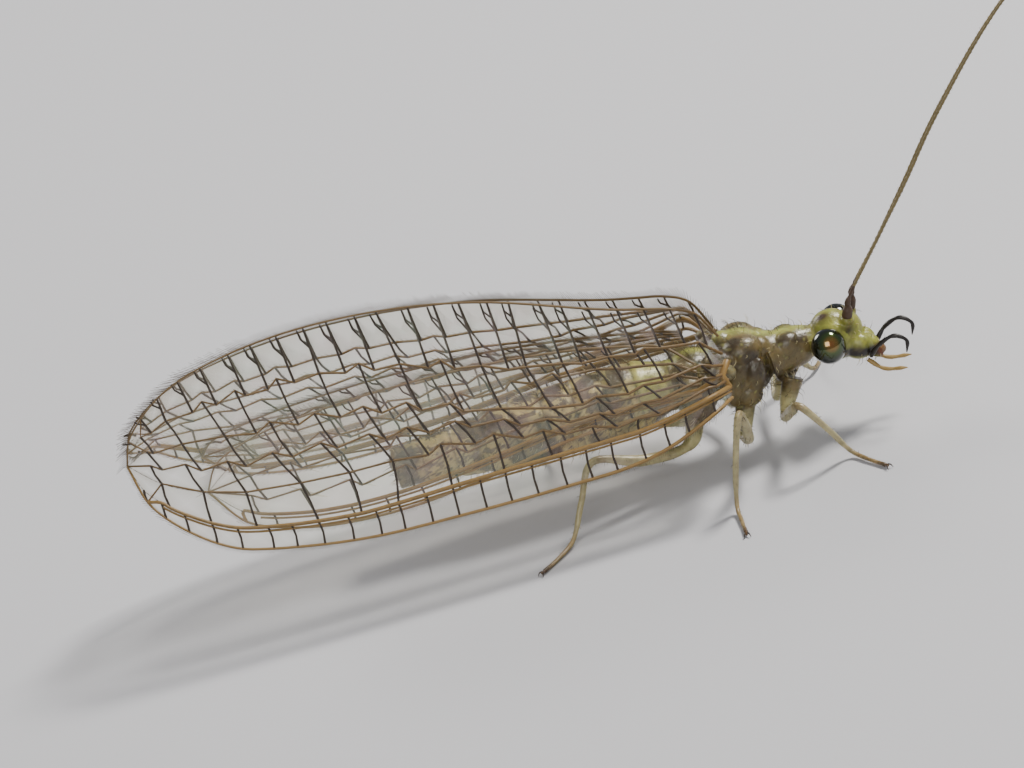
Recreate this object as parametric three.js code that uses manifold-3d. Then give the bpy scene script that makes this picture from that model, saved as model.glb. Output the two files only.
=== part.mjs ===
// Green lacewing at rest: a still, life-size model of one adult, wings held roof-like over the abdomen.
// Millimetres, +Z up, head towards +X, feet on Z = 0.
import * as THREE from 'three';
import Module from 'manifold-3d';

const wasm = await Module();
wasm.setup();

// Body sizes
const CENTRE_SHIFT_X = 1.2;
const AXIS_Z = 2.05;
const PROTHORAX = { front: 1.7, back: 1.28, halfWidth: 0.52, halfHeight: 0.5 };
const MESOTHORAX = { front: 1.0, back: -0.27, halfWidth: 0.9, halfHeight: 0.86 };
const METATHORAX = { front: -0.55, back: -1.2, halfWidth: 0.76, halfHeight: 0.74 };
const ABDOMEN = { front: -1.48, back: -7.46, radius: 0.78, tipRadius: 0.46, segments: 9 };
const HEAD = { x: 2.52, z: 2.05, yaw: 0.34, halfLength: 0.56, halfWidth: 0.44, halfHeight: 0.6 };
const EYE = { side: 0.6, radius: 0.385, innerSide: 0.5, lift: 0.02 };
const HEAD_SIDE = 0.24;
const FACE = { forward: 0.54, up: -0.24, radii: [0.4, 0.31, 0.38] };
const MOUTH = { forward: 0.8, up: -0.42, radii: [0.28, 0.27, 0.24] };
const BROW = { forward: 0.36, up: 0.3, radii: [0.22, 0.3, 0.2] };
const CUTTER = [1.4, 1, 1.6];
const ANTENNA = { side: 0.38, forward: 0.46, lift: 0.76, baseRadius: 0.25, tipRadius: 0.14 };
const ANTENNA_REACH = {
  right: [[3.95, -0.5, 4.15], [4.8, -0.62, 5.24], [5.84, -0.8, 6.67], [7.88, -1.3, 9.04], [10.2, -1.9, 10.75]],
  left: [[3.98, 0.34, 3.75], [4.86, 0.55, 4.75], [5.9, 0.8, 5.95], [7.9, 1.2, 7.83], [10.15, 1.75, 9.15]],
};
const LEG_RADIUS = 0.25;
const TARSUS_RADIUS = 0.2;
const PALP_RADIUS = 0.15;

// Wing sizes
const WING_SLOPE = THREE.MathUtils.degToRad(65);
const RIDGE_HALF = 0.265;
const MEMBRANE_HALF = 0.2;
const FOREWING_OFFSET = 2.1;
const FOREWING_ROOT_OFFSET = 1.44;
const HINDWING_OFFSET = 1.32;
const AXIS_B = AXIS_Z * Math.sin(WING_SLOPE);

const COLOURS = {
  head: '#9a9a50',
  eye: '#2c3324',
  antenna: '#8a7f4c',
  palp: '#3a2a1c',
  thorax: '#7d7a4e',
  abdomen: '#a59c6c',
  wing: '#c9c6a0',
  leg: '#98906a',
};

function closedMesh(positions, triangles) {
  const geometry = new THREE.BufferGeometry();
  geometry.setAttribute('position', new THREE.Float32BufferAttribute(positions, 3));
  geometry.setIndex(triangles);
  return geometry;
}

function toManifold(geometry) {
  const position = geometry.getAttribute('position');
  const keys = new Map();
  const remap = [];
  const vertices = [];
  for (let i = 0; i < position.count; i += 1) {
    const p = [position.getX(i), position.getY(i), position.getZ(i)];
    const key = p.map((value) => Math.round(value * 1e4)).join(',');
    if (!keys.has(key)) {
      keys.set(key, vertices.length / 3);
      vertices.push(...p);
    }
    remap.push(keys.get(key));
  }
  const index = geometry.index ? Array.from(geometry.index.array) : remap.map((_, i) => i);
  const triangles = [];
  for (let i = 0; i < index.length; i += 3) {
    const [a, b, c] = [remap[index[i]], remap[index[i + 1]], remap[index[i + 2]]];
    if (a !== b && b !== c && c !== a) {
      triangles.push(a, b, c);
    }
  }
  return new wasm.Manifold(new wasm.Mesh({
    numProp: 3,
    vertProperties: new Float32Array(vertices),
    triVerts: new Uint32Array(triangles),
  }));
}

function fromManifold(solid) {
  const pieces = solid.decompose();
  let largest = pieces[0];
  for (const piece of pieces) {
    if (piece.volume() > largest.volume()) {
      largest = piece;
    }
  }
  const mesh = largest.getMesh();
  return closedMesh(Array.from(mesh.vertProperties), Array.from(mesh.triVerts));
}

// Rings of equal count are joined into a skin and closed by a fan at each end.
function skinRings(rings) {
  const sides = rings[0].length;
  const positions = [];
  const triangles = [];
  for (const ring of rings) {
    for (const p of ring) {
      positions.push(p.x, p.y, p.z);
    }
  }
  for (let k = 0; k < rings.length - 1; k += 1) {
    for (let i = 0; i < sides; i += 1) {
      const j = (i + 1) % sides;
      const a = k * sides + i;
      const b = k * sides + j;
      triangles.push(a, b, a + sides, b, b + sides, a + sides);
    }
  }
  for (const end of [0, rings.length - 1]) {
    const centre = new THREE.Vector3();
    for (const p of rings[end]) {
      centre.addScaledVector(p, 1 / sides);
    }
    const hub = positions.length / 3;
    positions.push(centre.x, centre.y, centre.z);
    for (let i = 0; i < sides; i += 1) {
      const a = end * sides + i;
      const b = end * sides + ((i + 1) % sides);
      if (end === 0) {
        triangles.push(hub, b, a);
      } else {
        triangles.push(hub, a, b);
      }
    }
  }
  const geometry = closedMesh(positions, triangles);
  if (signedVolume(positions, triangles) < 0) {
    for (let i = 0; i < triangles.length; i += 3) {
      [triangles[i + 1], triangles[i + 2]] = [triangles[i + 2], triangles[i + 1]];
    }
    geometry.setIndex(triangles);
  }
  return geometry;
}

function signedVolume(positions, triangles) {
  let volume = 0;
  for (let i = 0; i < triangles.length; i += 3) {
    const [a, b, c] = [0, 1, 2].map((k) => new THREE.Vector3().fromArray(positions, 3 * triangles[i + k]));
    volume += a.dot(b.cross(c)) / 6;
  }
  return volume;
}

// Linear reading of a short table of [place, value, value ...] rows.
function readTable(table, place) {
  let k = 0;
  while (k < table.length - 2 && place > table[k + 1][0]) {
    k += 1;
  }
  const [from, to] = [table[k], table[k + 1]];
  const raw = THREE.MathUtils.clamp((place - from[0]) / (to[0] - from[0]), 0, 1);
  return from.slice(1).map((value, i) => value + (to[i + 1] - value) * raw);
}

// A body ring across X: an ellipse, squared a little where its power is above 2.
function bodyRing(x, z, halfWidth, halfHeight, sides, power = 2) {
  const ring = [];
  for (let i = 0; i < sides; i += 1) {
    const angle = (i / sides) * Math.PI * 2;
    const c = Math.cos(angle);
    const s = Math.sin(angle);
    const y = halfWidth * Math.sign(c) * Math.abs(c) ** (2 / power);
    const lift = halfHeight * Math.sign(s) * Math.abs(s) ** (2 / power);
    ring.push(new THREE.Vector3(x, y, z + lift));
  }
  return ring;
}

// A thorax piece swells between its two end faces and is notched above by the fold between its plates.
function thoraxPiece(size, steps, sides, endShare, fold) {
  const rings = [];
  for (let k = 0; k <= steps; k += 1) {
    const share = k / steps;
    const swell = endShare + (1 - endShare) * Math.sin(Math.PI * share) ** 0.6;
    const groove = 1 - fold * Math.exp(-(((share - 0.36) / 0.07) ** 2));
    const x = size.back + (size.front - size.back) * share;
    rings.push(bodyRing(x, AXIS_Z, size.halfWidth * swell, size.halfHeight * swell * groove, sides, 2.2));
  }
  return skinRings(rings);
}

// The abdomen tapers to its tip; each segment's hind rim stands a little over the next one.
function abdomenGeometry() {
  const sides = 20;
  const rings = [];
  const length = ABDOMEN.front - ABDOMEN.back;
  const perSegment = [0, 0.16, 0.8, 0.96];
  for (let k = 0; k < ABDOMEN.segments; k += 1) {
    for (const part of perSegment) {
      const share = (k + part) / ABDOMEN.segments;
      const waist = 0.66 + 0.34 * THREE.MathUtils.smoothstep(share, 0, 0.14);
      const narrowing = 1 - ABDOMEN.tipRadius / ABDOMEN.radius;
      const taper = 1 - narrowing * THREE.MathUtils.smoothstep(share, 0.45, 0.97);
      const rim = part > 0.1 ? 1 + 0.035 * part : 0.965;
      const radius = ABDOMEN.radius * waist * taper * rim;
      const x = ABDOMEN.front - length * share;
      const sag = -0.06 * Math.sin(Math.PI * share);
      rings.push(bodyRing(x, AXIS_Z + sag, radius * 0.94, radius, sides));
    }
  }
  rings.push(bodyRing(ABDOMEN.back, AXIS_Z + 0.02, ABDOMEN.tipRadius * 0.5, ABDOMEN.tipRadius * 0.62, sides));
  return skinRings(rings);
}

// A round limb swept along a smooth path; radii are read from a table of [share of the path, radius].
function limb(path, radii, steps, sides, floor = null) {
  const curve = new THREE.CatmullRomCurve3(path, false, 'centripetal');
  const frames = curve.computeFrenetFrames(steps, false);
  const rings = [];
  for (let k = 0; k <= steps; k += 1) {
    const share = k / steps;
    const [radius] = readTable(radii, share);
    const centre = curve.getPointAt(share);
    const ring = [];
    for (let i = 0; i < sides; i += 1) {
      const angle = (i / sides) * Math.PI * 2;
      const p = centre.clone();
      p.addScaledVector(frames.normals[k], Math.cos(angle) * radius);
      p.addScaledVector(frames.binormals[k], Math.sin(angle) * radius);
      if (floor !== null) {
        p.z = Math.max(p.z, floor);
      }
      ring.push(p);
    }
    rings.push(ring);
  }
  return skinRings(rings);
}

// Head places are given forward, to the left and up from the head's centre.
function headPoint(forward, left, up) {
  const point = new THREE.Vector3(forward, left, up);
  point.applyAxisAngle(new THREE.Vector3(0, 0, 1), -HEAD.yaw);
  return point.add(new THREE.Vector3(HEAD.x, 0, HEAD.z));
}

function headBall(forward, left, up, radii, across = 18, down = 12) {
  const ball = new THREE.SphereGeometry(1, across, down);
  ball.rotateX(Math.PI / 2);
  ball.scale(...radii);
  ball.rotateZ(-HEAD.yaw);
  ball.translate(...headPoint(forward, left, up).toArray());
  return ball;
}

function headBox(forward, left, up, size) {
  const box = new THREE.BoxGeometry(...size);
  box.rotateZ(-HEAD.yaw);
  box.translate(...headPoint(forward, left, up).toArray());
  return box;
}

function headGeometry() {
  let solid = toManifold(headBall(0, 0, 0, [HEAD.halfLength, HEAD.halfWidth, HEAD.halfHeight]));
  for (const side of [-1, 1]) {
    const clear = headBox(0, side * (HEAD_SIDE + CUTTER[1] / 2), 0, CUTTER);
    solid = solid.subtract(toManifold(clear));
  }
  solid = solid.add(toManifold(headBall(FACE.forward, 0, FACE.up, FACE.radii, 16, 10)));
  solid = solid.add(toManifold(headBall(MOUTH.forward, 0, MOUTH.up, MOUTH.radii, 12, 8)));
  solid = solid.add(toManifold(headBall(BROW.forward, 0, BROW.up, BROW.radii, 12, 8)));
  return fromManifold(solid);
}

function eyeGeometry(side) {
  const ball = toManifold(headBall(0, side * EYE.side, EYE.lift, [EYE.radius, EYE.radius, EYE.radius]));
  const cut = headBox(0, side * (EYE.innerSide - CUTTER[1] / 2), 0, CUTTER);
  return fromManifold(ball.subtract(toManifold(cut)));
}

function antennaGeometry(side) {
  const reach = side < 0 ? ANTENNA_REACH.right : ANTENNA_REACH.left;
  const path = [headPoint(ANTENNA.forward, side * ANTENNA.side, ANTENNA.lift)];
  for (const p of reach) {
    path.push(new THREE.Vector3(...p));
  }
  const base = ANTENNA.baseRadius;
  const joints = [[0, base], [0.06, base * 1.08], [0.075, base * 0.92], [0.75, base * 0.8]];
  const radii = [...joints, [1, ANTENNA.tipRadius]];
  return limb(path, radii, 26, 8);
}

function palpGeometry(points, side) {
  const path = points.map(([forward, left, up]) => headPoint(forward, side * left, up));
  return limb(path, [[0, PALP_RADIUS], [0.8, PALP_RADIUS], [1, PALP_RADIUS * 0.6]], 9, 7);
}

// Palps: points forward, to the side and up from the head's centre.
const MAXILLARY_PALP = [[0.94, 0.6, -0.44], [1.16, 0.54, -0.14], [1.46, 0.42, -0.02], [1.66, 0.4, -0.2],
  [1.6, 0.4, -0.5]];
const LABIAL_PALP = [[0.66, 0.24, -0.96], [1.0, 0.28, -1.1], [1.5, 0.3, -0.98]];

// Each leg: coxa top, coxa tip, femur middle, knee, tibia middle, tibia end, tarsus, claws.
const LEGS = {
  front_right: [[1.42, -0.44, 1.26], [1.02, -0.55, 0.72], [1.14, -1.3, 1.22], [1.3, -2.05, 1.62],
    [1.74, -2.0, 0.95], [2.11, -1.86, 0.3], [2.4, -2.33, 0.17], [2.69, -2.81, 0.14]],
  front_left: [[1.42, 0.44, 1.26], [1.02, 0.55, 0.72], [1.18, 1.3, 0.98], [1.36, 2.0, 1.12],
    [1.75, 2.3, 0.7], [2.05, 2.6, 0.28], [2.25, 3.0, 0.17], [2.4, 3.45, 0.14]],
  mid_right: [[0.3, -0.52, 0.88], [0.05, -0.85, 0.72], [0.08, -1.75, 1.12], [-0.03, -2.62, 2.14],
    [-0.36, -2.75, 1.3], [-0.61, -2.85, 0.32], [-0.62, -3.35, 0.17], [-0.62, -3.94, 0.14]],
  mid_left: [[0.3, 0.52, 0.88], [0.05, 0.85, 0.72], [-0.05, 1.6, 0.95], [-0.2, 2.4, 1.2],
    [-0.4, 2.65, 0.75], [-0.55, 2.85, 0.28], [-0.6, 3.2, 0.17], [-0.64, 3.7, 0.14]],
  hind_right: [[-0.82, -0.44, 0.92], [-1.12, -0.62, 0.74], [-2.2, -1.1, 1.02], [-3.3, -1.28, 1.42],
    [-3.75, -1.68, 0.9], [-4.17, -2.1, 0.32], [-4.55, -2.5, 0.17], [-4.96, -2.91, 0.14]],
  hind_left: [[-0.82, 0.44, 0.92], [-1.12, 0.62, 0.74], [-2.2, 1.1, 1.0], [-3.25, 1.3, 1.38],
    [-3.7, 1.75, 0.9], [-4.1, 2.2, 0.32], [-4.5, 2.7, 0.17], [-4.85, 3.1, 0.14]],
};

function legGeometry(joints) {
  const path = joints.map((p) => new THREE.Vector3(...p));
  const radii = [[0, LEG_RADIUS * 1.25], [0.12, LEG_RADIUS * 1.1], [0.2, LEG_RADIUS], [0.7, LEG_RADIUS * 0.98],
    [0.78, TARSUS_RADIUS * 1.1], [0.94, TARSUS_RADIUS], [1, TARSUS_RADIUS * 0.7]];
  return limb(path, radii, 30, 7, 0);
}

// Wing outlines: a runs from root to apex along the body, b is the height up the slope of the roof.
const FOREWING_COSTA = [[0.02, 1.21], [0.63, 0.94], [1.55, 0.61], [2.42, 0.45], [4.12, 0.44], [6.16, 0.5],
  [8.23, 0.62], [9.93, 0.91], [11.1, 1.26], [12.13, 2.07], [12.72, 2.93], [12.8, 3.45]];
const FOREWING_HIND = [[12.8, 3.45], [12.64, 3.93], [12.01, 4.54], [11.21, 4.94], [9.37, 5.25], [7.13, 5.18],
  [4.81, 4.72], [2.13, 3.7], [0.27, 3.02], [-0.08, 2.45]];
const HINDWING_COSTA = [[0.62, 1.45], [1.5, 1.38], [3.5, 1.36], [5.5, 1.1], [7.5, 0.98],
  [9.3, 1.16],
  [10.6, 1.62], [11.25, 2.2], [11.34, 2.55]];
const HINDWING_HIND = [[11.34, 2.55], [11.15, 2.95], [10.2, 3.35], [8.4, 3.52], [6.2, 3.5], [4.0, 3.3],
  [2.2, 2.95], [0.9, 2.5], [0.58, 2.1]];

// Main veins as shares of the width from costa to hind margin, at equal steps of the wing's length.
const FOREWING_VEINS = [
  [0.18, 0.2, 0.2, 0.175, 0.155, 0.135, 0.115, 0.11, 0.115, 0.13, 0.15],
  [0.3, 0.27, 0.28, 0.31, 0.34, 0.33, 0.31, 0.3, 0.3, 0.32, 0.34],
  [0.4, 0.38, 0.36, 0.37, 0.42, 0.44, 0.45, 0.45, 0.45, 0.46, 0.48],
  [0.52, 0.5, 0.47, 0.44, 0.49, 0.55, 0.58, 0.59, 0.6, 0.61, 0.62],
  [0.7, 0.72, 0.7, 0.66, 0.69, 0.74, 0.77, 0.78, 0.79, 0.8, 0.82],
];
const FOREWING_CELLS = [21, 12, 10, 10, 11, 21];
const HINDWING_VEINS = [
  [0.16, 0.17, 0.16, 0.15, 0.14, 0.14, 0.15],
  [0.34, 0.32, 0.32, 0.32, 0.32, 0.33, 0.35],
  [0.54, 0.52, 0.54, 0.56, 0.58, 0.6, 0.62],
  [0.74, 0.74, 0.76, 0.77, 0.78, 0.8, 0.82],
];
const HINDWING_CELLS = [11, 8, 8, 9, 14];
const VEIN_HALF_WIDTH = 0.075;
const ZIGZAG = 0.05;
const BASAL_TIE = 0.038;
const WIDE_STRIP = 18;
const CROSSVEIN_LEAN = [0.002, 0.004, 0.012, 0.012, 0.01, 0.008];

function randomSource(seed) {
  let state = seed;
  return () => {
    state = (state * 16807) % 2147483647;
    return state / 2147483647;
  };
}

// The net of veins: lines from root to tip, tied by crossveins whose ends pull each line into a zigzag.
function veinNet(costa, hind, veins, cells, seed) {
  const random = randomSource(seed);
  const edges = [costa, [...hind].reverse()].map((points) => {
    const path = points.map(([a, b]) => new THREE.Vector3(a, b, 0));
    return new THREE.CatmullRomCurve3(path, false, 'centripetal');
  });
  const shares = [[0], ...veins, [1]];
  const lines = shares.map(() => [{ u: 0, pull: 0 }, { u: 1, pull: 0 }]);
  const endNode = (line, u, pull) => {
    const near = lines[line].find((node) => Math.abs(node.u - u) < 0.011);
    if (near) {
      near.pull = 0;
      return near;
    }
    const node = { u, pull };
    lines[line].push(node);
    return node;
  };
  const strips = cells.map((count, strip) => {
    const ties = [[lines[strip][0], lines[strip + 1][0]]];
    for (let i = 1; i < count; i += 1) {
      const even = Math.min(0.965, (i + 0.22 * (random() - 0.5)) / (count + 0.25));
      const u = i === 1 && count < WIDE_STRIP ? BASAL_TIE : even;
      const lean = CROSSVEIN_LEAN[strip];
      ties.push([endNode(strip, u - lean, -1), endNode(strip + 1, u + lean, 1)]);
    }
    ties.push([lines[strip][1], lines[strip + 1][1]]);
    return ties;
  });
  const vertices = [];
  lines.forEach((nodes, line) => {
    nodes.sort((p, q) => p.u - q.u);
    const inner = line > 0 && line < lines.length - 1;
    for (const node of nodes) {
      if (node.u === 1 && line > 0) {
        node.id = lines[0][lines[0].length - 1].id;
        continue;
      }
      const low = edges[0].getPointAt(node.u);
      const high = edges[1].getPointAt(node.u);
      const table = shares[line];
      const place = node.u * (table.length - 1);
      const k = Math.min(Math.floor(place), table.length - 2);
      let share = table[0];
      if (table.length > 1) {
        share = table[k] + (table[k + 1] - table[k]) * (place - k);
      }
      const p = low.lerp(high, share);
      const shift = inner && line > 1 ? ZIGZAG * node.pull * Math.min(1, 5 * (1 - node.u)) : 0;
      node.id = vertices.length;
      vertices.push([p.x, p.y + shift]);
    }
  });
  const loops = [];
  strips.forEach((ties, strip) => {
    for (let i = 0; i < ties.length - 1; i += 1) {
      const within = (from, to) => (node) => node.u >= from.u && node.u <= to.u;
      const run = (line, from, to) => lines[line].filter(within(from, to)).map((node) => node.id);
      const lower = run(strip, ties[i][0], ties[i + 1][0]);
      const upper = run(strip + 1, ties[i][1], ties[i + 1][1]).reverse();
      loops.push([...new Set([...lower, ...upper])]);
    }
  });
  const rim = [
    ...lines[0].map((n) => n.id),
    ...lines[lines.length - 1].map((n) => n.id).reverse().slice(1),
    ...lines.slice(1, -1).map((nodes) => nodes[0].id).reverse(),
  ];
  return { vertices, loops, rim };
}

// Each cell of the net sinks from its veins to the membrane by the half width of a vein.
function insetLoop(loop, width) {
  return loop.map((p, i) => {
    const before = loop[(i + loop.length - 1) % loop.length];
    const after = loop[(i + 1) % loop.length];
    const inward = (from, to) => {
      const d = [to[0] - from[0], to[1] - from[1]];
      const length = Math.hypot(...d);
      return [-d[1] / length, d[0] / length];
    };
    const n = inward(before, p);
    const m = inward(p, after);
    const share = Math.min(1 / (1 + n[0] * m[0] + n[1] * m[1] + 1e-6), 1.9);
    return [p[0] + width * share * (n[0] + m[0]), p[1] + width * share * (n[1] + m[1])];
  });
}

// The wing surface: offset from the body's axis, square to the slope of the roof.
function wingPlace(a, b, height, offset, side) {
  const distance = offset(a) + height;
  const up = b - AXIS_B;
  const y = -distance * Math.sin(WING_SLOPE) + up * Math.cos(WING_SLOPE);
  const z = AXIS_Z + distance * Math.cos(WING_SLOPE) + up * Math.sin(WING_SLOPE);
  return new THREE.Vector3(-a, side * -y, z);
}

const forewingOffset = (a) => {
  const rise = THREE.MathUtils.smoothstep(a, -0.05, 0.42);
  return FOREWING_ROOT_OFFSET + (FOREWING_OFFSET - FOREWING_ROOT_OFFSET) * rise;
};
const hindwingOffset = () => HINDWING_OFFSET;

function wingGeometry(net, offset, side) {
  const positions = [];
  const triangles = [];
  const addPair = (a, b, height) => {
    positions.push(...wingPlace(a, b, height, offset, side).toArray());
    positions.push(...wingPlace(a, b, -height, offset, side).toArray());
    return positions.length / 3 - 2;
  };
  const addFaces = (i, j, k) => {
    triangles.push(i, j, k, i + 1, k + 1, j + 1);
  };
  const veins = net.vertices.map(([a, b]) => addPair(a, b, RIDGE_HALF));
  for (const loop of net.loops) {
    const inner = insetLoop(loop.map((id) => net.vertices[id]), VEIN_HALF_WIDTH);
    const sunk = inner.map(([a, b]) => addPair(a, b, MEMBRANE_HALF));
    for (let i = 0; i < loop.length; i += 1) {
      const j = (i + 1) % loop.length;
      addFaces(veins[loop[i]], veins[loop[j]], sunk[j]);
      addFaces(veins[loop[i]], sunk[j], sunk[i]);
    }
    const middle = [0, 1].map((axis) => inner.reduce((sum, p) => sum + p[axis], 0) / inner.length);
    const hub = addPair(...middle, MEMBRANE_HALF);
    for (let i = 0; i < sunk.length; i += 1) {
      addFaces(sunk[i], sunk[(i + 1) % sunk.length], hub);
    }
  }
  for (let i = 0; i < net.rim.length; i += 1) {
    const p = veins[net.rim[i]];
    const q = veins[net.rim[(i + 1) % net.rim.length]];
    triangles.push(p, p + 1, q, q, p + 1, q + 1);
  }
  if (signedVolume(positions, triangles) < 0) {
    for (let i = 0; i < triangles.length; i += 3) {
      [triangles[i + 1], triangles[i + 2]] = [triangles[i + 2], triangles[i + 1]];
    }
  }
  return closedMesh(positions, triangles);
}

const insect = new THREE.Group();
insect.position.x = CENTRE_SHIFT_X;

function addNode(name, geometry, colour, roughness = 0.6) {
  geometry.computeVertexNormals();
  const material = new THREE.MeshStandardMaterial({ color: colour, roughness, metalness: 0 });
  const mesh = new THREE.Mesh(geometry, material);
  mesh.name = name;
  insect.add(mesh);
}

addNode('head', headGeometry(), COLOURS.head);
addNode('prothorax', thoraxPiece(PROTHORAX, 8, 18, 0.8, 0.05), COLOURS.thorax);
addNode('mesothorax', thoraxPiece(MESOTHORAX, 12, 20, 0.68, 0.06), COLOURS.thorax);
addNode('metathorax', thoraxPiece(METATHORAX, 8, 20, 0.8, 0.05), COLOURS.thorax);
addNode('abdomen', abdomenGeometry(), COLOURS.abdomen);
for (const [label, side] of [['right', -1], ['left', 1]]) {
  addNode(`eye_${label}`, eyeGeometry(side), COLOURS.eye, 0.25);
  addNode(`antenna_${label}`, antennaGeometry(side), COLOURS.antenna);
  addNode(`maxillary_palp_${label}`, palpGeometry(MAXILLARY_PALP, side), COLOURS.palp);
  addNode(`labial_palp_${label}`, palpGeometry(LABIAL_PALP, side), COLOURS.leg);
  for (const pair of ['front', 'mid', 'hind']) {
    addNode(`leg_${pair}_${label}`, legGeometry(LEGS[`${pair}_${label}`]), COLOURS.leg);
  }
  const fore = veinNet(FOREWING_COSTA, FOREWING_HIND, FOREWING_VEINS, FOREWING_CELLS, 7);
  const hind = veinNet(HINDWING_COSTA, HINDWING_HIND, HINDWING_VEINS, HINDWING_CELLS, 11);
  addNode(`forewing_${label}`, wingGeometry(fore, forewingOffset, side), COLOURS.wing, 0.35);
  addNode(`hindwing_${label}`, wingGeometry(hind, hindwingOffset, side), COLOURS.wing, 0.35);
}

const lacewing = new THREE.Group();
lacewing.add(insect);

export default lacewing;
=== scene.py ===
"""Green lacewing at rest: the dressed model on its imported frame, with studio floor, lights and camera.

Shapes are laid out in the model's own millimetres: x runs ahead along the body, y to its left, and z up from
the floor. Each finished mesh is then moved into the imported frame's metres.
"""

import math
import random
from collections import namedtuple
from types import SimpleNamespace

import bmesh
import bpy
import numpy as np
from mathutils import Matrix, Vector


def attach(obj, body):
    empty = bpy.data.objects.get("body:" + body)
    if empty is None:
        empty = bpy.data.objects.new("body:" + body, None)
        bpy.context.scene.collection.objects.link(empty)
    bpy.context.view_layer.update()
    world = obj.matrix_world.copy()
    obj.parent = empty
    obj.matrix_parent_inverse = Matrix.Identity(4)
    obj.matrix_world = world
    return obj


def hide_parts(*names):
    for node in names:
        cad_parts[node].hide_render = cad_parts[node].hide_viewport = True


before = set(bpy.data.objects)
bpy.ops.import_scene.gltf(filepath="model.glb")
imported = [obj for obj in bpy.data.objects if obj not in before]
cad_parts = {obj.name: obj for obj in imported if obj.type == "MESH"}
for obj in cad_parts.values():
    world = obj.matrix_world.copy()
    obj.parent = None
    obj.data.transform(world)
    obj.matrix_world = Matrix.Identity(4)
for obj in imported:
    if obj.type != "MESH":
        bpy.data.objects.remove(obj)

bl_info = {
    "name": "Green Lacewing",
    "version": (1, 0, 0),
    "blender": (4, 5, 0),
    "location": "View3D > Sidebar > Lacewing",
    "description": "Dresses the life-size green lacewing",
    "category": "Object",
}

# The model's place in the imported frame
MM = 0.001
SHIFT_X = 1.2

# The camera's angles, the picture's centre, and its distance, which grows with the lens
ELEVATION = math.radians(25)
ROLL = math.radians(17)
PICTURE_X = -4.44
PICTURE_UP = 2.863
DISTANCE = 2.966
DISTANCE_PER_LENS = 0.6052

# Half the floor's side, and each light's place and size in metres and its share of the key light
FLOOR_HALF = 900
LIGHTS = [("key", (0.07, 0.03, 0.11), 0.03, 1), ("fill", (-0.03, -0.14, 0.09), 0.08, 0.45),
          ("rim", (-0.08, 0.1, 0.07), 0.05, 0.35)]
LIGHT_TARGET = Vector((0, 0, 0.002))

# Surfaces: the mottling's strength and scale, the relief's depth and strength, and other inputs
FINISHES = {
    "chitin": (0.55, 6500, 0.00009, 0.4, {"Roughness": 0.4, "Coat Weight": 0.2, "Subsurface Weight": 0.1,
                                          "Subsurface Scale": 0.00012}),
    "hair": (0, 9000, 0.00003, 0.4, {"Roughness": 0.5}),
    "claw": (0.1, 9000, 0.00003, 0.4, {"Roughness": 0.3}),
    "eye_facets": (0, 1, 0, 0, {"Roughness": 0.16, "Metallic": 0.75, "Coat Weight": 1,
                                "Coat Roughness": 0.05}),
    "feeler": (0.35, 9000, 0.00003, 0.4, {"Roughness": 0.5}),
    "palp_shell": (0.15, 9000, 0.00003, 0.4, {"Roughness": 0.4}),
    "vein": (0.3, 5000, 0.00003, 0.4, {"Roughness": 0.45}),
}

# The membrane; a row of SHEEN is where a colour stands in the noise
SHEEN = [(0.35, (0.75, 0.95, 0.85, 1)), (0.65, (1.0, 0.82, 0.92, 1))]
EDGE_SHINE = 0.22

# The body's long axis, its reach round it, and the ends of the thorax
AXIS_Z = 2.05
BODY_RADIUS = 1.05
THORAX_REAR = -1.15
THORAX_FRONT = 1.95
NOISE_SEED = 5

# The abdomen; a row of SEGMENT_RINGS is a ring's share of its segment and its swell
SEGMENTS = 9
SEGMENT_RINGS = [(0, 0.93), (0.08, 0.95), (0.3, 0.985), (0.6, 1.0), (0.86, 1.015), (0.97, 1.0)]
RING_SIDES = 40
ABDOMEN_FRONT = -1.2
ABDOMEN_LENGTH = 6.22
ABDOMEN_RADIUS = 0.79
ABDOMEN_WIDTH = 0.94
ABDOMEN_SAG = 0.06
WAIST = 0.74
WAIST_LENGTH = 0.14
TAPER = 0.41
TAPER_START = 0.45
TAPER_LENGTH = 0.52
CREASE_DEPTH = 0.07
CREASE_HEIGHT = -0.12
CREASE_WIDTH = 0.13
TAIL = [((-7.2, 0, 0.12), (0.3, 0.36, 0.26), 0), ((-7.22, 0, -0.14), (0.22, 0.32, 0.24), 0)]

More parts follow.
